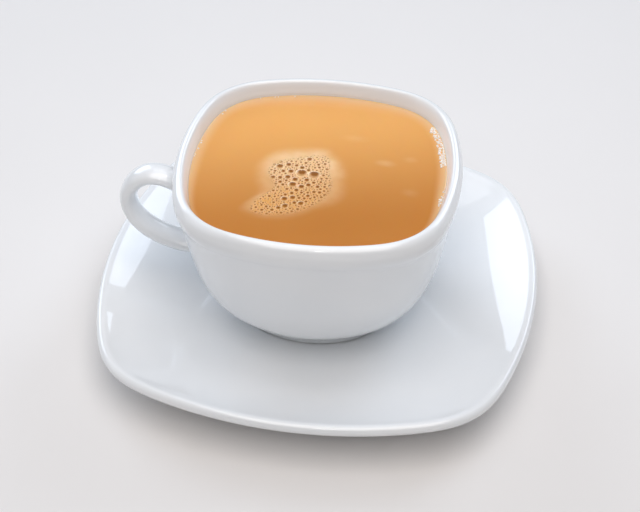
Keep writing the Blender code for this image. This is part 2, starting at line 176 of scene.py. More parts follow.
# A bubble is an open pit with a raised rim. Plain numbers are shares of its radius or of a colour.
PIT_RINGS = (0.45, 0.8, 0.97, 1.12, 1.32)  # rings of points in and round it
PIT_SIDES, PIT_FACET = (8, 20), 0.08 * MM  # least and most points of a ring, and their spacing
PIT_DEPTH = 0.55
PIT_DEEPEST = 0.9 * MM  # larger bubbles are as deep as those of this radius
PIT_LEAN = 0.8  # the painted shade's middle lies this far behind the pit's: each pit's far side is painted dark as shade
PIT_SHADE, PIT_SHADE_FADE = 1.15, 0.6  # how far the painted shade reaches, and its soft edge
BOWL_SHADE, BOWL_FADE = 0.25, 0.25  # how brown the lit side of a pit is, and its soft edge
PIT_FULL = 0.5 * MM  # bubbles from this radius on are full brown; smaller ones are paler
PIT_BROWN = (0.45, 0.95)  # how brown the smallest and the full ones are
PIT_BORDER = 0.75  # share of the brown that is left at the froth's border
# A bubble's pale rim is partly the foam's own colour and partly a painted glint, brightest on one side.
CREST_REACH, CREST_WIDTH = 1.08, 0.32  # the raised rim's place and half width
CREST_RISE = 0.12
CREST_DULL = 0.4  # how pale the rim is away from its painted glint
GLINT_BEARING, GLINT_LEAST = math.radians(125), 0.6 * MM  # larger bubbles' rims carry a painted glint on this side
DOME_RISE, DOME_REACH = 0.4, 1.02  # the clear film over a bubble
DOME_LEAST = 0.7 * MM  # smaller bubbles show no film of their own
FILM_THICK = 0.12

# Bubbles along the wall: (first and last bearing in degrees, how many, width of their band and least
# and most radius in mm)
WALL_BUBBLES = ((10, 38, 300, 2.0, 0.26, 0.6), (-19, -8, 24, 1.1, 0.2, 0.4), (106, 128, 9, 0.6, 0.15, 0.26),
                (139, 144, 3, 0.7, 0.18, 0.3), (164, 178, 6, 0.6, 0.18, 0.34))
WALL_CROWDING = 1.6  # how much closer they stand to the wall
WALL_OVERLAP = 0.72  # nearest two middles, as a share of both radii
WALL_TOP, WALL_UNDER = 0.8, -0.5  # their height above and depth below the drink, in radii
WALL_SIDES, WALL_RINGS = 14, 4


def linear(code):
    """An sRGB hex colour as linear RGBA."""
    channels = [int(code[place:place + 2], 16) / 255 for place in (1, 3, 5)]
    return (*[c / 12.92 if c <= 0.04045 else ((c + 0.055) / 1.055) ** 2.4 for c in channels], 1.0)


def blend(low, high, share):
    return low + (high - low) * share


def clamp(value):
    return min(max(value, 0.0), 1.0)


def smooth(share):
    share = clamp(share)
    return share * share * (3 - 2 * share)


# Settings -------------------------------------------------------------------

def length(name, description, default):
    return bpy.props.FloatProperty(name=name, description=description, default=default, unit="LENGTH",
                                   precision=5)


def colour(name, description, code):
    return bpy.props.FloatVectorProperty(name=name, description=description, default=linear(code),
                                         subtype="COLOR", size=4, min=0.0, max=1.0)


def factor(name, description, default, most=1.0):
    return bpy.props.FloatProperty(name=name, description=description, default=default, min=0.0, max=most)


class CoffeePorcelainSettings(bpy.types.PropertyGroup):
    """Sizes and colours of the cup and saucer."""
    saucer_half: length("Saucer half width", "From the middle to the saucer's edge", 75.0 * MM)
    saucer_height: length("Saucer height", "Height of the saucer's edge", 18.0 * MM)
    lip_half: length("Lip half width", "From the middle to the cup's widest point", 47.2 * MM)
    cup_top: length("Cup top", "Height of the cup's lip above the table", CUP_BOX[1].z)
    glaze: colour("Glaze", "Colour of the glazed porcelain", "#f1f2f3")
    glaze_deep: colour("Glaze, deep", "Colour where the glaze has pooled thicker", "#e9ecef")
    bisque: colour("Bisque", "Colour of the bare ring that the ware stands on", "#dcd6cb")


class CoffeeDrinkSettings(bpy.types.PropertyGroup):
    """Level and colours of the drink and its froth."""
    level: length("Level", "Height of the drink above the table", COFFEE_LEVEL)
    # Painted light: the drink is painted darker in front and lighter at the back.
    milky: colour("Milky coffee", "Colour of the drink at the front", "#bb7939")
    creamy: colour("Creamy coffee", "Colour of the drink at the back, where the cream has drifted", "#ecb069")
    # Margin: partly the thin drink at the wall, partly a painted reflection of the white wall, strongest at
    # the back.
    margin: colour("Margin", "Colour of the thin drink at the wall", "#eec393")
    film: colour("Film", "Colour of the finest froth", "#f5d2a6")
    froth: colour("Froth", "Colour of the bubbly froth", "#dca159")
    # Crests: partly the rims' own pale colour, partly a painted glint.
    crest: colour("Crests", "Colour of the rims round the bubbles", "#fce6c8")
    # Pits: the drink's brown, painted darker on their far side as shade.
    pit: colour("Pits", "Colour inside the bubbles", "#8e540a")


class CoffeeStageSettings(bpy.types.PropertyGroup):
    """Floor, lights and camera."""
    floor: colour("Floor", "Colour of the floor", "#e6e3e1")
    room: factor("Room light", "Radiance of the even light of the room", 0.12, most=5.0)
    window: factor("Windows", "Radiance of the two tall soft lights behind", 3.3, most=100.0)
    top: factor("Top", "Radiance of the broad light overhead", 2.7, most=100.0)
    near: factor("Near top", "Radiance of the small soft light close over the cup", 1.5, most=100.0)
    side: factor("Side", "Radiance of the weak soft light at the handle's side", 0.4, most=100.0)
    lamp: factor("Lamp", "Radiance of the small lamp that gives the glints", 30.0, most=500.0)


# Meshes ---------------------------------------------------------------------

def square_reach(bearing, half, side, corner):
    """Distance from the middle to a square outline whose sides and corners are arcs."""
    side_centre = half - side
    corner_centre = (side_centre + math.sqrt(2 * (side - corner) ** 2 - side_centre ** 2)) / 2
    join = math.atan2(corner_centre, corner_centre - side_centre)
    join_bearing = math.atan2(side * math.sin(join), side_centre + side * math.cos(join))
    quarter = math.pi / 2
    local = abs((bearing + quarter / 2) % quarter - quarter / 2)
    if local < join_bearing:
        return side_centre * math.cos(local) + math.sqrt(side ** 2 - (side_centre * math.sin(local)) ** 2)
    diagonal = corner_centre * math.sqrt(2)
    off = local - quarter / 2
    return diagonal * math.cos(off) + math.sqrt(corner ** 2 - (diagonal * math.sin(off)) ** 2)


def eased_reach(bearing, half, side, corner):
    """The square outline with its arcs eased into each other, as a thick glaze does."""
    total = sum(weight * square_reach(bearing + step * EASING_STEP, half, side, corner)
                for step, weight in EASING)
    return total / sum(weight for _, weight in EASING)


def shares(count):
    """Shares from 0 to 1 in even steps."""
    return [step / count for step in range(count + 1)]


def turns(count):
    """Even bearings round a full circle."""
    return [2 * math.pi * side / count for side in range(count)]


def polar(reach, bearing, height=0.0):
    return Vector((reach * math.cos(bearing), reach * math.sin(bearing), height))


def spoke_bearing(spoke):
    even = 2 * math.pi * spoke / SPOKES
    return even + CORNER_CROWDING * math.sin(4 * even) / 4


def reach_at(bearing, half, squareness, shape):
    """Reach of a level that blends a circle and a square."""
    side, corner = shape
    return blend(half, eased_reach(bearing, half, half * side, half * corner), squareness)


def outline(half, height, squareness, shape):
    points = []
    for spoke in range(SPOKES):
        bearing = spoke_bearing(spoke)
        points.append(polar(reach_at(bearing, half, squareness, shape), bearing, height))
    return points


def bridge(bm, loops):
    """Faces between neighbouring closed loops of equal length."""
    count = len(loops[0])
    for lower, upper in zip(loops, loops[1:]):
        for near in range(count):
            far = (near + 1) % count
            bm.faces.new((lower[near], lower[far], upper[far], upper[near]))


def skin(bm, levels):
    """A closed body over loops of points; returns its loops of vertices."""
    loops = [[bm.verts.new(point) for point in level] for level in levels]
    bridge(bm, loops)
    bm.faces.new(list(reversed(loops[0])))
    bm.faces.new(loops[-1])
    return loops


def between(start, end, across, along):
    """A (half, height) point between two others, by a share of each."""
    return blend(start[0], end[0], across), blend(start[1], end[1], along)


def round_corner(before, corner, after, radius):
    """Points that round off a corner between two neighbours of a (half, height) profile."""
    corner = Vector(corner)
    start = corner + (Vector(before) - corner).normalized() * radius
    end = corner + (Vector(after) - corner).normalized() * radius
    return [tuple(start.lerp(corner, share).lerp(corner.lerp(end, share), share))
            for share in shares(CORNER_STEPS)]


def rounded_profile(corners, radii):
    """A profile through its corners, each rounded by its own radius; ends stay sharp."""
    points = [corners[0]]
    for before, corner, after, radius in zip(corners, corners[1:], corners[2:], radii):
        points += round_corner(before, corner, after, radius)
    return points + [corners[-1]]


def mark_bare(bm, height):
    """Mark the ring that the ware stands on, which carries no glaze."""
    bare = bm.verts.layers.float.new("bare")
    for vert in bm.verts:
        vert[bare] = 1.0 if vert.co.z < height + BARE_HEIGHT else 0.0


def add_object(name, data):
    thing = bpy.data.objects.new(name, data)
    bpy.context.scene.collection.objects.link(thing)
    return thing


def finish_piece(name, bm, material, slot, *nodes):
    """Turn a bmesh into a smooth piece that rides on the body and stands for CAD nodes."""
    bmesh.ops.recalc_face_normals(bm, faces=bm.faces)
    mesh = bpy.data.meshes.new(name)
    bm.to_mesh(mesh)
    bm.free()
    mesh.shade_smooth()
    piece = add_object(name, mesh)
    piece.data.materials.append(material)
    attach(piece, "root")
    if nodes:
        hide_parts(*nodes)
    return piece


def apply_modifiers(piece):
    bpy.context.view_layer.update()
    evaluated = piece.evaluated_get(bpy.context.evaluated_depsgraph_get())
    mesh = bpy.data.meshes.new_from_object(evaluated)
    piece.modifiers.clear()
    piece.data = mesh


# Materials ------------------------------------------------------------------

def node(tree, kind, inputs, **settings):
    """Add a shader node; settings are its own, and an input takes a value or another node's output."""
    made = tree.nodes.new(kind)
    for name, value in settings.items():
        setattr(made, name, value)
    for socket, value in inputs.items():
        if isinstance(value, bpy.types.NodeSocket):
            tree.links.new(value, made.inputs[socket])
        else:
            made.inputs[socket].default_value = value
    return made


def marked(tree, name):
    """What the mesh carries under a name at each vertex."""
    return node(tree, "ShaderNodeAttribute", {}, attribute_name=name).outputs["Fac"]


def noise(tree, place, size, detail):
    """Soft noise between 0 and 1 with features of a size."""
    return node(tree, "ShaderNodeTexNoise", {"Scale": 1 / size, "Detail": detail,
                                             "Vector": place}).outputs["Fac"]


def mix(tree, share, low, high, **settings):
    """A colour between two others."""
    return node(tree, "ShaderNodeMix", {"Factor": share, "A": low, "B": high}, data_type="RGBA",
                **settings).outputs["Result"]


def spread(tree, value, start, end, low=0.0, high=1.0, **settings):
    """A value between low and high, as the given one goes from start to end."""
    return node(tree, "ShaderNodeMapRange", {"Value": value, "From Min": start, "From Max": end,
                                             "To Min": low, "To Max": high}, **settings).outputs["Result"]


def towards_cream(tree, place, start, end, high=1.0):
    """How far a place lies along the way in which the drink and froth are painted lighter, as painted light.
    """
    along = node(tree, "ShaderNodeVectorMath", {0: place, 1: PAINTED_LIGHT_RUN}, operation="DOT_PRODUCT")
    return spread(tree, along.outputs["Value"], start, end, high=high, interpolation_type="SMOOTHSTEP")


def start_material(name, **values):
    """A new material with its tree, its shader and object coordinates in metres."""
    material = bpy.data.materials.new(name)
    material.use_nodes = True
    tree = material.node_tree
    shader = tree.nodes["Principled BSDF"]
    for socket, value in values.items():
        shader.inputs[socket.replace("_", " ")].default_value = value
    place = node(tree, "ShaderNodeTexCoord", {}).outputs["Object"]
    return material, tree, shader, place


def glazed_porcelain(settings):
    """Slip-cast porcelain under a clear glaze: a cool white body, mirror gloss, faint pooling."""
    material, tree, shader, place = start_material("glazed_porcelain", Roughness=0.32, IOR=1.5,
                                                   Coat_Weight=1.0, Coat_Roughness=0.02, Coat_IOR=1.52)
    bare = marked(tree, "bare")
    body = mix(tree, noise(tree, place, 24 * MM, 2.0), settings.glaze, settings.glaze_deep)
    tree.links.new(mix(tree, bare, body, settings.bisque), shader.inputs["Base Color"])
    height = node(tree, "ShaderNodeMix", {"Factor": bare, "A": noise(tree, place, 9 * MM, 1.0),
                                          "B": noise(tree, place, 0.4 * MM, 3.0)})
    bump = node(tree, "ShaderNodeBump", {"Strength": 0.25, "Distance": 0.04 * MM,
                                         "Height": height.outputs["Result"]})
    tree.links.new(bump.outputs["Normal"], shader.inputs["Coat Normal"])
    return material


def drink_colour(tree, place, settings):
    """Milky coffee's colour: painted lighter at the back and darker in front as painted light, paler at the
    wall (partly the thin drink, partly a painted reflection of the white wall) and under fine froth.
    """
    # Painted light: the drink's colour runs from its shaded front to its lit back.
    painted_light = node(tree, "ShaderNodeMix", {"Factor": 0.1, "A": towards_cream(tree, place, PAINTED_LIGHT_FROM, PAINTED_LIGHT_TO),
                                         "B": noise(tree, place, 26 * MM, 1.5)})
    body = mix(tree, painted_light.outputs["Result"], settings.milky, settings.creamy)
    thin = mix(tree, marked(tree, "margin"), body, settings.margin)
    patchy = spread(tree, noise(tree, place, 5 * MM, 3.0), 0.3, 0.7, low=0.7, high=1.2)
    cover = node(tree, "ShaderNodeMath", {0: marked(tree, "film"), 1: patchy}, operation="MULTIPLY")
    return mix(tree, cover.outputs["Value"], thin, settings.film)


def milky_coffee(settings):
    """Brewed coffee with milk: opaque, soft light from within, a still and wet surface."""
    material, tree, shader, place = start_material("milky_coffee", Roughness=0.09, IOR=1.34,
                                                   Subsurface_Weight=0.35, Subsurface_Scale=1.6 * MM,
                                                   Subsurface_Radius=(1.0, 0.45, 0.15))
    tree.links.new(drink_colour(tree, place, settings), shader.inputs["Base Color"])
    return material


def coffee_froth(settings):
    """Froth beaten into coffee: matt with packed bubbles, brown inside each open pit and painted dark on its
    far side as shade, with pale rims that carry a painted glint on one side.
    """
    material, tree, shader, place = start_material("coffee_froth", IOR=1.34, Specular_IOR_Level=0.35,
                                                   Subsurface_Weight=0.3, Subsurface_Scale=0.8 * MM,
                                                   Subsurface_Radius=(1.0, 0.5, 0.2))
    core = marked(tree, "core")
    tree.links.new(spread(tree, core, 0.0, 1.0, low=0.09, high=0.45), shader.inputs["Roughness"])
    cells = node(tree, "ShaderNodeTexVoronoi", {"Scale": 1 / (0.55 * MM), "Vector": place})
    packed = spread(tree, cells.outputs["Distance"], 0.08, 0.5, low=0.82)
    # Painted light: the froth is painted paler towards the back.
    tone = mix(tree, towards_cream(tree, place, *FROTH_PALE), settings.froth, settings.film)
    body = mix(tree, core, drink_colour(tree, place, settings), mix(tree, packed, settings.pit, tone))
    # Rims: partly their own pale colour, partly a painted glint.
    rims = mix(tree, marked(tree, "crest"), body, settings.crest)
    # Pits: the drink's brown, with painted shade on their far side.
    tree.links.new(mix(tree, marked(tree, "pit"), rims, settings.pit), shader.inputs["Base Color"])
    bump = node(tree, "ShaderNodeBump", {"Strength": 0.5, "Distance": 0.05 * MM,
                                         "Height": cells.outputs["Distance"]})
    tree.links.new(bump.outputs["Normal"], shader.inputs["Normal"])
    return material


def wet_film(name, code, roughness, edge, **shown):
    """A thin wet film that shows more where it is seen edge on."""
    material, tree, shader, _ = start_material(name, Roughness=roughness, IOR=1.33, Base_Color=linear(code))
    facing = node(tree, "ShaderNodeLayerWeight", {"Blend": edge})
    tree.links.new(spread(tree, facing.outputs["Facing"], **shown), shader.inputs["Alpha"])
    return material


def bubble_film():
    """The wet film over a bubble: clear from above, bright where it is seen edge on."""
    return wet_film("bubble_film", "#fff4e4", roughness=0.04, edge=0.35, start=0.4, end=1.0, high=0.2)


def wall_froth():
    """Small white bubbles that cling to the wall: milky, and brightest round their outlines."""
    return wet_film("wall_froth", "#fffaf2", roughness=0.08, edge=0.5, start=0.0, end=0.6, low=0.72)


def painted_board(settings):
    """Matt painted board: even, pale and without gloss."""
    material, tree, shader, place = start_material("painted_board", Roughness=0.85)
    shade = spread(tree, noise(tree, place, 60 * MM, 2.0), 0.0, 1.0, low=0.99, high=1.01)
    board = mix(tree, 1.0, settings.floor, shade, blend_type="MULTIPLY")
    tree.links.new(board, shader.inputs["Base Color"])
    return material


def shared_material(make, *settings):
    """The material that a function makes, made once and then reused."""
    found = bpy.data.materials.get(make.__name__)
    return found or make(*settings)


# Saucer ---------------------------------------------------------------------

def saucer_profile(settings):
    """(half, height) of the saucer from its middle out, over the edge and back."""
    dish_half = settings.saucer_half - DISH_IN * RIM_RADIUS
    dish_top = settings.saucer_height - DISH_DOWN * RIM_RADIUS

    def dish(half):
        share = clamp((half - WELL_HALF) / (dish_half - WELL_HALF))
        return blend(WELL_HEIGHT, dish_top, share ** DISH_CURVE)

    halves = [blend(WELL_HALF, dish_half, share) for share in shares(DISH_STEPS)]
    upper = [(half, dish(half)) for half in halves]
    middle = Vector((settings.saucer_half - RIM_RADIUS, settings.saucer_height - RIM_RADIUS))
    edge = []
    for degrees in RIM_TURNS:
        turn = math.radians(degrees)
        edge.append(tuple(middle + RIM_RADIUS * Vector((math.cos(turn), math.sin(turn)))))
    halves = [blend(UNDER_HALF, SAUCER_FOOT_OUT + UNDER_END, share) for share in shares(UNDER_STEPS)]
    under = [(half, dish(half) - SAUCER_THICK) for half in halves]
    foot_top = dish(SAUCER_FOOT_OUT) - SAUCER_THICK
    foot = rounded_profile((under[-1], (SAUCER_FOOT_OUT, foot_top), (SAUCER_FOOT_OUT, 0.0),
                            (SAUCER_FOOT_IN, 0.0), (SAUCER_FOOT_IN, SAUCER_RECESS),
                            (SAUCER_FOOT_IN - SAUCER_RECESS_RUN, SAUCER_RECESS)),
                           (SAUCER_FOOT_BLEND, SAUCER_FOOT_ROUND, SAUCER_FOOT_ROUND, SAUCER_FOOT_ROUND))
    return upper + edge + under + foot[1:]


def build_saucer(settings):
    """The saucer as one closed body with a bare ring to stand on."""
    bm = bmesh.new()
    full = SAUCER_SQUARE * settings.saucer_half
    rings = []
    for half, height in saucer_profile(settings):
        squareness = clamp((half - WELL_HALF) / (full - WELL_HALF))
        rings.append(outline(half, height, squareness, SAUCER_SHAPE))
    skin(bm, rings)
    mark_bare(bm, 0.0)
    return finish_piece("saucer_glazed", bm, shared_material(glazed_porcelain, settings), "porcelain",
                        "saucer")


# Cup ------------------------------------------------------------------------

def body_point(share):
    """(half, height) on the outer wall, from the foot (0) to the neck (1)."""
    bowl = 1 - (1 - share) ** BOWL_CURVE
    widening = (1 - BODY_FLARE) * bowl + BODY_FLARE * share
    return (blend(FOOT_HALF, NECK_HALF, widening), blend(CUP_BASE + FOOT_HEIGHT, NECK_HEIGHT, share))


def inner_point(share):
    """(half, height) on the inner wall, one wall thickness in from the outer one."""
    before = Vector(body_point(max(share - BODY_NEAR, 0.0)))
    after = Vector(body_point(min(share + BODY_NEAR, 1.0)))
    along = (after - before).normalized()
    here = Vector(body_point(share))
    return here.x - along.y * WALL, here.y + along.x * WALL


def cup_squareness(height):
    """The cup grows square from foot to lip, and its foot is a little squared again."""
    share = clamp((height - CUP_BASE) / (LIP_WIDEST - CUP_BASE))
    return share + FOOT_SQUARENESS * (1 - share) ** FOOT_EASE


def lip_profile(settings):
    """(half, height) from the neck round the lip to its inner side."""
    neck, widest = (NECK_HALF, NECK_HEIGHT), (settings.lip_half, LIP_WIDEST)
    crest = (LIP_CREST_HALF, settings.cup_top)
    part = shares(LIP_STEPS)[1:]
    roll = [between(neck, widest, 1 - (1 - share) ** LIP_SWELL, share) for share in part]
    angles = [math.pi / 2 * share for share in shares(LIP_TOP_STEPS)[1:]]
    over = [between(widest, crest, 1 - math.cos(angle), math.sin(angle)) for angle in angles]
    return roll + over + [between(crest, LIP_INNER, share, share ** LIP_FALL) for share in part]


def cavity_profile():
    """(half, height) of the hollow from under the lip down to its floor."""
    return [inner_point(CAVITY_SPAN * (1 - share) ** CAVITY_CROWDING + CAVITY_FLOOR)
            for share in shares(CAVITY_STEPS)]


def cup_profile(settings):
    """(half, height) from the foot's recess, up the outside, over the lip and in."""
    inner, outer = FOOT_HALF - FOOT_RING, FOOT_HALF - FOOT_SET_IN
    top = CUP_BASE + FOOT_HEIGHT
    recess = CUP_BASE + FOOT_RECESS
    foot = rounded_profile(((inner - FOOT_RECESS_RUN, recess), (inner, recess), (inner, CUP_BASE),
                            (outer, CUP_BASE), (outer, top)),
                           (FOOT_ROUND, FOOT_ROUND, FOOT_ROUND))
    wall = [body_point(share ** BODY_CROWDING) for share in shares(BODY_STEPS)]
    return foot[:-1] + [(outer, top - FOOT_ROUND)] + wall + lip_profile(settings) + cavity_profile()


def cup_ring(half, height):
    return outline(half, height, cup_squareness(height), CUP_SHAPE)


def wall_gap(point):
    """How far a point near the handle's roots stands off the outer wall."""
    bottom = CUP_BASE + FOOT_HEIGHT
    share = clamp((point.z - bottom) / (NECK_HEIGHT - bottom))
    half = body_point(share)[0]
    above, below = body_point(min(share + HANDLE_NEAR, 1.0)), body_point(max(share - HANDLE_NEAR, 0.0))
    slope = (above[0] - below[0]) / ((NECK_HEIGHT - bottom) * 2 * HANDLE_NEAR)
    reach = reach_at(math.atan2(point.y, -point.x), half, cup_squareness(point.z), CUP_SHAPE)
    return (math.hypot(point.x, point.y) - reach) / math.hypot(1.0, slope)


def smooth_path(points, steps):
    """Catmull-Rom curve through the points."""
    padded = [2 * points[0] - points[1], *points, 2 * points[-1] - points[-2]]
    path = []
    for index in range(1, len(padded) - 2):
        before, start, end, after = padded[index - 1:index + 3]
        for step in range(steps):
            part = step / steps
            path.append(0.5 * (2 * start + (end - before) * part
                               + (2 * before - 5 * start + 4 * end - after) * part ** 2
                               + (3 * start - before - 3 * end + after) * part ** 3))
    path.append(points[-1])
    return path


def fillet_growth(gap):
    """How much wider the handle is at a distance from the wall, along a quarter circle."""
    away = clamp((HANDLE_FILLET - gap) / HANDLE_FILLET)
    return HANDLE_FILLET * (1 - math.sqrt(1 - min(away, FILLET_MOST) ** 2))


def handle_rings():
    """Oval sections along the handle, each swelling into the wall at the roots."""
    line = smooth_path([Vector((x, 0, z)) * MM for x, z in HANDLE_LINE], HANDLE_STEPS)
    rings = []
    for index, middle in enumerate(line):
        ahead = (line[min(index + 1, len(line) - 1)] - line[max(index - 1, 0)]).normalized()
        across = Vector((-ahead.z, 0, ahead.x))
        ring = []
        for turn in turns(HANDLE_SIDES):
            spoke = across * HANDLE_DEEP * math.cos(turn) + Vector((0, HANDLE_WIDE * math.sin(turn), 0))
            point = middle + spoke
            for _ in range(FILLET_ROUNDS):
                point = middle + spoke + spoke.normalized() * fillet_growth(wall_gap(point))
            ring.append(point)
        rings.append(ring)
    return rings


def build_cup(settings):
    """The cup's wall, lip and foot in one closed body with its handle."""
    material = shared_material(glazed_porcelain, settings)
    bm = bmesh.new()
    skin(bm, handle_rings())
    handle = finish_piece("handle_form", bm, material, "porcelain")
    bm = bmesh.new()
    skin(bm, [cup_ring(*level) for level in cup_profile(settings)])
    cup = finish_piece("cup_glazed", bm, material, "porcelain", "cup")
    join = cup.modifiers.new("handle", "BOOLEAN")
    join.operation = "UNION"
    join.object = handle
    apply_modifiers(cup)
    bpy.data.objects.remove(handle, do_unlink=True)
    bm = bmesh.new()
    bm.from_mesh(cup.data)
    bmesh.ops.dissolve_degenerate(bm, dist=SLIVER, edges=bm.edges)
    mark_bare(bm, CUP_BASE)
    bm.to_mesh(cup.data)
    bm.free()
    cup.data.transform(CUP_STAND)
    return cup


# Drink ----------------------------------------------------------------------

def polar_reach(pairs, bearing):
    """Smooth closed outline through (degrees, millimetres) pairs, as a reach at a bearing."""
    angles = [math.radians(angle) for angle, _ in pairs]
    count = len(angles)
    turn = 2 * math.pi
    local = (bearing - angles[0]) % turn
    index = max(place for place in range(count) if angles[place] - angles[0] <= local)
    places = [index - 1, index, index + 1, index + 2]
    angle = [angles[place % count] - angles[0] + turn * (place // count) for place in places]
    reach = [pairs[place % count][1] * MM for place in places]
    span = angle[2] - angle[1]
    part = (local - angle[1]) / span
    leave = (reach[2] - reach[0]) / (angle[2] - angle[0]) * span
    arrive = (reach[3] - reach[1]) / (angle[3] - angle[1]) * span
    return ((2 * part ** 3 - 3 * part ** 2 + 1) * reach[1] + (part ** 3 - 2 * part ** 2 + part) * leave
            + (3 * part ** 2 - 2 * part ** 3) * reach[2] + (part ** 3 - part ** 2) * arrive)


def inside_by(pairs, x, y):
    """How far a place lies inside an outline round the middle of the froth."""
    away = Vector((x - FROTH_PLACE[0], y - FROTH_PLACE[1]))
    return polar_reach(pairs, math.atan2(away.y, away.x)) - away.length


def froth_place(bearing, reach):
    return FROTH_PLACE[0] + reach * math.cos(bearing), FROTH_PLACE[1] + reach * math.sin(bearing)


def film_at(x, y):
    """How strongly the pale film of finest froth covers the drink at a place."""
    inside = inside_by(HALO_REACH, x, y) + HALO_FADE / 4
    cover = blend(*HALO_COVER, smooth((y - HALO_FRONT) / HALO_RUN)) * smooth(inside / HALO_FADE)
    for wisp_x, wisp_y, half_length, half_width, strength in WISPS:
        off = math.hypot((x / MM - wisp_x) / half_length, (y / MM - wisp_y) / half_width)
        cover = max(cover, strength * smooth(1 - off))
    return cover


def inner_half_at(height):
    """Half width of the hollow at a height."""
    levels = [LIP_INNER] + cavity_profile()
    for above, below in zip(levels, levels[1:]):
        if below[1] <= height <= above[1]:
            return blend(below[0], above[0], (height - below[1]) / (above[1] - below[1]))
    raise ValueError("the hollow doesn't reach this height")


def build_coffee(settings):
    """The drink, filling the cup's hollow, with its surface drawn up at the wall."""
    touch = settings.level + MENISCUS_RISE
    levels = []
    for half, height in reversed(cavity_profile()):
        if height < settings.level - MENISCUS_RISE:
            levels.append(cup_ring(half - DRINK_OVERLAP, height + DRINK_OVERLAP))
    edge = cup_ring(inner_half_at(touch) + DRINK_OVERLAP, touch)
    levels.append(edge)
    middle = Vector((0.0, 0.0, settings.level))
    bm = bmesh.new()
    for ring in range(1, DRINK_RINGS):
        share = (ring / DRINK_RINGS) ** RING_CROWDING
        level = []
        for point in edge:
            flat = Vector((point.x, point.y, settings.level))
            inward = flat.lerp(middle, share)
            inward.z += MENISCUS_RISE * math.exp(-(flat - inward).length / MENISCUS_RUN)
            level.append(inward)
        levels.append(level)
    margin = bm.verts.layers.float.new("margin")
    film = bm.verts.layers.float.new("film")
    loops = skin(bm, [[CUP_STAND @ point for point in level] for level in levels])
    surface = loops[-DRINK_RINGS:]
    for ring in surface:
        for vert, wall in zip(ring, surface[0]):
            inward = math.dist(vert.co.xy, wall.co.xy)
            # Pale margin: partly the thin drink, partly a painted reflection of the white wall, wider and
            # stronger behind.
            behind = smooth((wall.co.y + MARGIN_FRONT) / MARGIN_FRONT)
            width = MARGIN_WIDTH * blend(MARGIN_NARROW, 1.0, behind)
            vert[margin] = blend(*MARGIN_PALE, behind) * smooth(1 - inward / width)
            vert[film] = film_at(vert.co.x, vert.co.y)
            under = inside_by(FROTH_REACH, vert.co.x, vert.co.y) - FROTH_LAP
            vert.co.z -= FROTH_BED * smooth(under / FROTH_LAP)
    return finish_piece("coffee_surface", bm, shared_material(milky_coffee, settings), "coffee", "coffee")


def scatter_bubbles():
    """Bubbles over the froth, clear of each other, the largest first: (x, y, radius)."""
    draw = random.Random(BUBBLE_SEED)
    bubbles = [(x * MM, y * MM, radius * MM) for x, y, radius in PLACED_BUBBLES]
    for count, *sizes in BUBBLE_SORTS:
        least, most, space = (size * MM for size in sizes)
        wanted = len(bubbles) + count
        tries = 0
        while len(bubbles) < wanted and tries < BUBBLE_TRIES * count:
            tries += 1
            bearing = draw.uniform(0, 2 * math.pi)
            share = math.sqrt(draw.random())
            radius = draw.uniform(least, most)
            reach = (polar_reach(FROTH_REACH, bearing) - BUBBLE_BORDER - radius) * share
            x, y = froth_place(bearing, reach)
            if all(math.dist((x, y), other[:2]) - radius - other[2] > space for other in bubbles):
                bubbles.append((x, y, radius))
    return bubbles


def froth_points(bubbles):
    """Points for the froth's surface: rings in and round each bubble, a loose net between."""
    points = []
    for x, y, radius in bubbles:
        sides = max(PIT_SIDES[0], min(PIT_SIDES[1], round(radius / PIT_FACET)))
        points.append((x, y))
        for share in PIT_RINGS:
            for side in range(sides):
                turn = 2 * math.pi * (side + share) / sides
                points.append((x + share * radius * math.cos(turn), y + share * radius * math.sin(turn)))
    low, high = FROTH_BOX
    for row in range(int((high.y - low.y) / FROTH_NET)):
        for column in range(int((high.x - low.x) / FROTH_NET)):
            x = low.x + (column + 0.5 * (row % 2)) * FROTH_NET
            y = low.y + row * FROTH_NET
            clear = all(math.dist((x, y), bubble[:2]) > NET_CLEAR * bubble[2] for bubble in bubbles)
            if clear and inside_by(FROTH_REACH, x, y) > NET_BORDER:
                points.append((x, y))
    return points


def froth_height(x, y, near):
    """(height over the drink, pit brown with its painted shade, core, crest with its painted glint) at a
    place, given the bubbles near it.
    """
    core = smooth(inside_by(FROTH_REACH, x, y) / FROTH_EDGE)
    height = blend(-FROTH_SUNK, FROTH_RISE, core)
    pit = crest = 0.0
    for bubble_x, bubble_y, radius in near:
        share = math.dist((x, y), (bubble_x, bubble_y)) / radius
        if share < 1.0:
            height -= PIT_DEPTH * core * min(radius, PIT_DEEPEST) * math.sqrt(1 - share ** 2)
            # The far side of each pit is painted dark as shade.
            shaded = math.dist((x, y), (bubble_x, bubble_y + PIT_LEAN * radius)) / radius
            brown_and_painted_shade = max(smooth((PIT_SHADE - shaded) / PIT_SHADE_FADE),
                        BOWL_SHADE * smooth((1 - share) / BOWL_FADE))
            pit = max(pit, brown_and_painted_shade * blend(*PIT_BROWN, clamp(radius / PIT_FULL)))
        ring = smooth(1 - abs(share - CREST_REACH) / CREST_WIDTH)
        if ring > 0:
            # A painted glint brightens the rims of larger bubbles on one side.
            turn = math.atan2(y - bubble_y, x - bubble_x) - GLINT_BEARING
            painted_glint = clamp((radius - GLINT_LEAST) / GLINT_LEAST) * max(math.cos(turn), 0.0)
            crest = max(crest, ring * blend(CREST_DULL, 1.0, painted_glint))
            height += CREST_RISE * radius * core * ring
    return height, pit * blend(PIT_BORDER, 1.0, core), core, crest * core


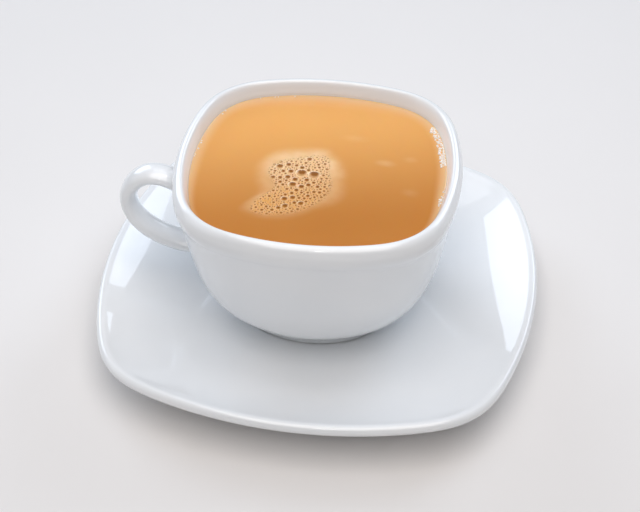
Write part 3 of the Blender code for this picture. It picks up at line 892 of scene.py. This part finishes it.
def build_froth(settings, bubbles):
    """The patch of froth as one closed body, pitted by its bubbles."""
    border = [froth_place(bearing, polar_reach(FROTH_REACH, bearing)) for bearing in turns(FROTH_SIDES)]
    places = [Vector(point) for point in border + froth_points(bubbles)]
    outline_edges = [(side, (side + 1) % FROTH_SIDES) for side in range(FROTH_SIDES)]
    flat, _, faces, *_ = delaunay_2d_cdt(places, outline_edges, [list(range(FROTH_SIDES))], 1, NET_FINEST)
    cells = {}
    for bubble in bubbles:
        for across in (-1, 0, 1):
            for along in (-1, 0, 1):
                key = (int(bubble[0] // CELL) + across, int(bubble[1] // CELL) + along)
                cells.setdefault(key, []).append(bubble)
    bm = bmesh.new()
    layers = [bm.verts.layers.float.new(name) for name in ("pit", "core", "crest", "film")]
    verts = []
    for place in flat:
        near = cells.get((int(place.x // CELL), int(place.y // CELL)), ())
        height, *marks = froth_height(place.x, place.y, near)
        vert = bm.verts.new((place.x, place.y, settings.level + height))
        for layer, mark in zip(layers, (*marks, film_at(place.x, place.y))):
            vert[layer] = mark
        verts.append(vert)
    for face in faces:
        bm.faces.new([verts[index] for index in face])
    rim = [edge for edge in bm.edges if edge.is_boundary]
    sunk = bmesh.ops.extrude_edge_only(bm, edges=rim)["geom"]
    for vert in [item for item in sunk if isinstance(item, bmesh.types.BMVert)]:
        vert.co.z = FROTH_BOX[0].z
    bmesh.ops.holes_fill(bm, edges=[edge for edge in bm.edges if edge.is_boundary], sides=0)
    return finish_piece("froth_bubbly", bm, shared_material(coffee_froth, settings), "froth", "froth")


def add_bubble(bm, middle, radius, top, under, sides=20, rings=5):
    """A closed bubble: a dome of one height over a dome or bowl of another, from its middle level."""
    loops = []
    for ring in range(1 - rings, rings):
        angle = math.pi / 2 * ring / rings
        rise = top * math.sin(angle) if ring >= 0 else -under * math.sin(angle)
        reach = radius * math.cos(angle)
        loops.append([bm.verts.new(middle + polar(reach, turn, rise)) for turn in turns(sides)])
    bridge(bm, loops)
    for loop, rise in ((loops[0], under), (loops[-1], top)):
        pole = bm.verts.new(middle + Vector((0, 0, rise)))
        for near in range(sides):
            bm.faces.new((loop[near], loop[(near + 1) % sides], pole))


def build_films(settings, bubbles):
    """The clear films that dome over the larger bubbles."""
    bm = bmesh.new()
    for x, y, radius in bubbles:
        if radius > DOME_LEAST:
            add_bubble(bm, Vector((x, y, settings.level + FROTH_RISE)), DOME_REACH * radius,
                       DOME_RISE * radius, (DOME_RISE - FILM_THICK) * radius)
    return finish_piece("froth_films", bm, shared_material(bubble_film), "froth")


def build_wall_bubbles(settings):
    """Small bubbles in groups along the wall, where the drink meets the porcelain."""
    draw = random.Random(BUBBLE_SEED)
    half = inner_half_at(settings.level + MENISCUS_RISE)
    made = []
    bm = bmesh.new()
    for start, end, count, *sizes in WALL_BUBBLES:
        band, least, most = (size * MM for size in sizes)
        for _ in range(count):
            bearing = math.radians(draw.uniform(start, end))
            radius = draw.uniform(least, most)
            inward = radius + (band - radius) * draw.random() ** WALL_CROWDING
            reach = reach_at(bearing, half, cup_squareness(settings.level), CUP_SHAPE) - inward
            place = CUP_STAND @ polar(reach, bearing)
            if any(math.dist(place.xy, other[:2]) < WALL_OVERLAP * (radius + other[2]) for other in made):
                continue
            made.append((place.x, place.y, radius))
            place.z = settings.level + MENISCUS_RISE * math.exp(-inward / MENISCUS_RUN)
            add_bubble(bm, place, radius, WALL_TOP * radius, WALL_UNDER * radius, WALL_SIDES, WALL_RINGS)
    return finish_piece("wall_bubbles", bm, shared_material(wall_froth), "froth")


# Operators ------------------------------------------------------------------

class CoffeeSaucerOperator(bpy.types.Operator):
    """Build the glazed saucer"""
    bl_idname = "coffee.saucer"
    bl_label = "Saucer"

    def execute(self, context):
        build_saucer(context.scene.coffee_porcelain)
        return {"FINISHED"}


class CoffeeCupOperator(bpy.types.Operator):
    """Build the glazed cup with its handle"""
    bl_idname = "coffee.cup"
    bl_label = "Cup"

    def execute(self, context):
        build_cup(context.scene.coffee_porcelain)
        return {"FINISHED"}


class CoffeeDrinkOperator(bpy.types.Operator):
    """Fill the cup with milky coffee"""
    bl_idname = "coffee.drink"
    bl_label = "Coffee"

    def execute(self, context):
        build_coffee(context.scene.coffee_drink)
        return {"FINISHED"}


class CoffeeFrothOperator(bpy.types.Operator):
    """Lay the froth and its bubbles on the drink"""
    bl_idname = "coffee.froth"
    bl_label = "Froth"

    def execute(self, context):
        settings = context.scene.coffee_drink
        bubbles = scatter_bubbles()
        build_froth(settings, bubbles)
        build_films(settings, bubbles)
        build_wall_bubbles(settings)
        return {"FINISHED"}


# Stage ----------------------------------------------------------------------

CAMERA_AZIMUTH, CAMERA_ELEVATION = math.radians(9.07), math.radians(41.02)
CAMERA_ROLL = math.radians(0.69)
CAMERA_DISTANCE = 532.4 * MM
CAMERA_AIM = (-0.23 * MM, 8.71 * MM, 16.0 * MM)  # to the right, into the depth, up
CAMERA_LENS = 84.77


def add_camera():
    """Camera on a sphere round its aim, turned a little about its own axis."""
    east, rise = CAMERA_AZIMUTH, CAMERA_ELEVATION
    right = Vector((math.cos(east), math.sin(east), 0))
    deep = Vector((-math.sin(east), math.cos(east), 0))
    back = Vector((math.sin(east) * math.cos(rise), -math.cos(east) * math.cos(rise), math.sin(rise)))
    aim = CAMERA_AIM[0] * right + CAMERA_AIM[1] * deep + Vector((0, 0, CAMERA_AIM[2]))
    axes = Matrix((right, back.cross(right), back)).transposed()
    data = bpy.data.cameras.new("camera")
    data.lens = CAMERA_LENS
    data.sensor_width = 36.0
    camera = add_object("camera", data)
    turned = axes @ Matrix.Rotation(CAMERA_ROLL, 3, "Z")
    camera.matrix_world = Matrix.Translation(aim + back * CAMERA_DISTANCE) @ turned.to_4x4()
    bpy.context.scene.camera = camera


# Lights: name, its setting, tint, bearing to the right of straight behind, elevation, distance,
# (width, height) and lean; angles in degrees
LIGHTS = (("window_left", "window", "#e2efff", -47.8, 27.5, 1200 * MM, (730 * MM, 680 * MM), -17.0),
          ("window_right", "window", "#e2efff", 32.5, 31.0, 1200 * MM, (560 * MM, 760 * MM), 25.0),
          ("overhead", "top", "#fffaf7", 168.0, 69.0, 1100 * MM, (950 * MM, 1100 * MM), 0.0),
          ("near_top", "near", "#f2f7ff", 0.0, 76.0, 420 * MM, (300 * MM, 300 * MM), 0.0),
          ("side", "side", "#eef5ff", -108.0, 24.0, 900 * MM, (700 * MM, 600 * MM), 0.0),
          ("lamp", "lamp", "#ffffff", 176.0, 45.0, 900 * MM, (70 * MM, 30 * MM), 0.0))
LIGHT_AIM = Vector((0, 0, 40 * MM))
ROOM_TINT = "#f4f7fb"
FLOOR_HALF = 2.5


def add_light(name, radiance, tint, bearing, rise, distance, size, lean):
    """A rectangular soft light that looks at the cup from a bearing, elevation and distance."""
    bearing, rise, lean = math.radians(bearing), math.radians(rise), math.radians(lean)
    out = Vector((math.sin(bearing) * math.cos(rise), math.cos(bearing) * math.cos(rise), math.sin(rise)))
    data = bpy.data.lights.new(name, "AREA")
    data.shape = "RECTANGLE"
    data.size, data.size_y = size
    data.energy = radiance * size[0] * size[1] * math.pi
    data.color = linear(tint)[:3]
    light = add_object(name, data)
    light.location = LIGHT_AIM + out * distance
    leaning = out.to_track_quat("Z", "Y") @ Quaternion((0, 0, 1), lean)
    light.rotation_euler = leaning.to_euler()


class CoffeeStageOperator(bpy.types.Operator):
    """Lay the floor and set the lights and the camera"""
    bl_idname = "coffee.stage"
    bl_label = "Stage"

    def execute(self, context):
        settings = context.scene.coffee_stage
        bm = bmesh.new()
        bmesh.ops.create_grid(bm, x_segments=1, y_segments=1, size=FLOOR_HALF)
        mesh = bpy.data.meshes.new("floor")
        bm.to_mesh(mesh)
        bm.free()
        floor = add_object("floor", mesh)
        floor.data.materials.append(shared_material(painted_board, settings))
        world = bpy.data.worlds.new("room")
        world.use_nodes = True
        sky = world.node_tree.nodes["Background"]
        sky.inputs["Color"].default_value = linear(ROOM_TINT)
        sky.inputs["Strength"].default_value = settings.room
        context.scene.world = world
        context.scene.view_settings.view_transform = "Standard"
        for name, setting, *stand in LIGHTS:
            add_light(name, getattr(settings, setting), *stand)
        add_camera()
        return {"FINISHED"}


OPERATORS = (CoffeeStageOperator, CoffeeSaucerOperator, CoffeeCupOperator, CoffeeDrinkOperator,
             CoffeeFrothOperator)
SETTINGS = {"coffee_porcelain": CoffeePorcelainSettings, "coffee_drink": CoffeeDrinkSettings,
            "coffee_stage": CoffeeStageSettings}


class CoffeePanel(bpy.types.Panel):
    """Settings and one button for each group of pieces"""
    bl_idname = "COFFEE_PT_cup"
    bl_label = "Cup of Coffee"
    bl_space_type = "VIEW_3D"
    bl_region_type = "UI"
    bl_category = "Coffee"

    def draw(self, context):
        layout = self.layout
        for name, group in SETTINGS.items():
            box = layout.box()
            for setting in group.__annotations__:
                box.prop(getattr(context.scene, name), setting)
        for operator in OPERATORS:
            layout.operator(operator.bl_idname)


def register():
    for kind in (*SETTINGS.values(), *OPERATORS, CoffeePanel):
        bpy.utils.register_class(kind)
    for name, group in SETTINGS.items():
        setattr(bpy.types.Scene, name, bpy.props.PointerProperty(type=group))


def unregister():
    for name in SETTINGS:
        delattr(bpy.types.Scene, name)
    for kind in reversed((*SETTINGS.values(), *OPERATORS, CoffeePanel)):
        bpy.utils.unregister_class(kind)


def main():
    register()
    bpy.ops.coffee.stage()
    bpy.ops.coffee.saucer()
    bpy.ops.coffee.cup()
    bpy.ops.coffee.drink()
    bpy.ops.coffee.froth()


if __name__ == "__main__":
    main()
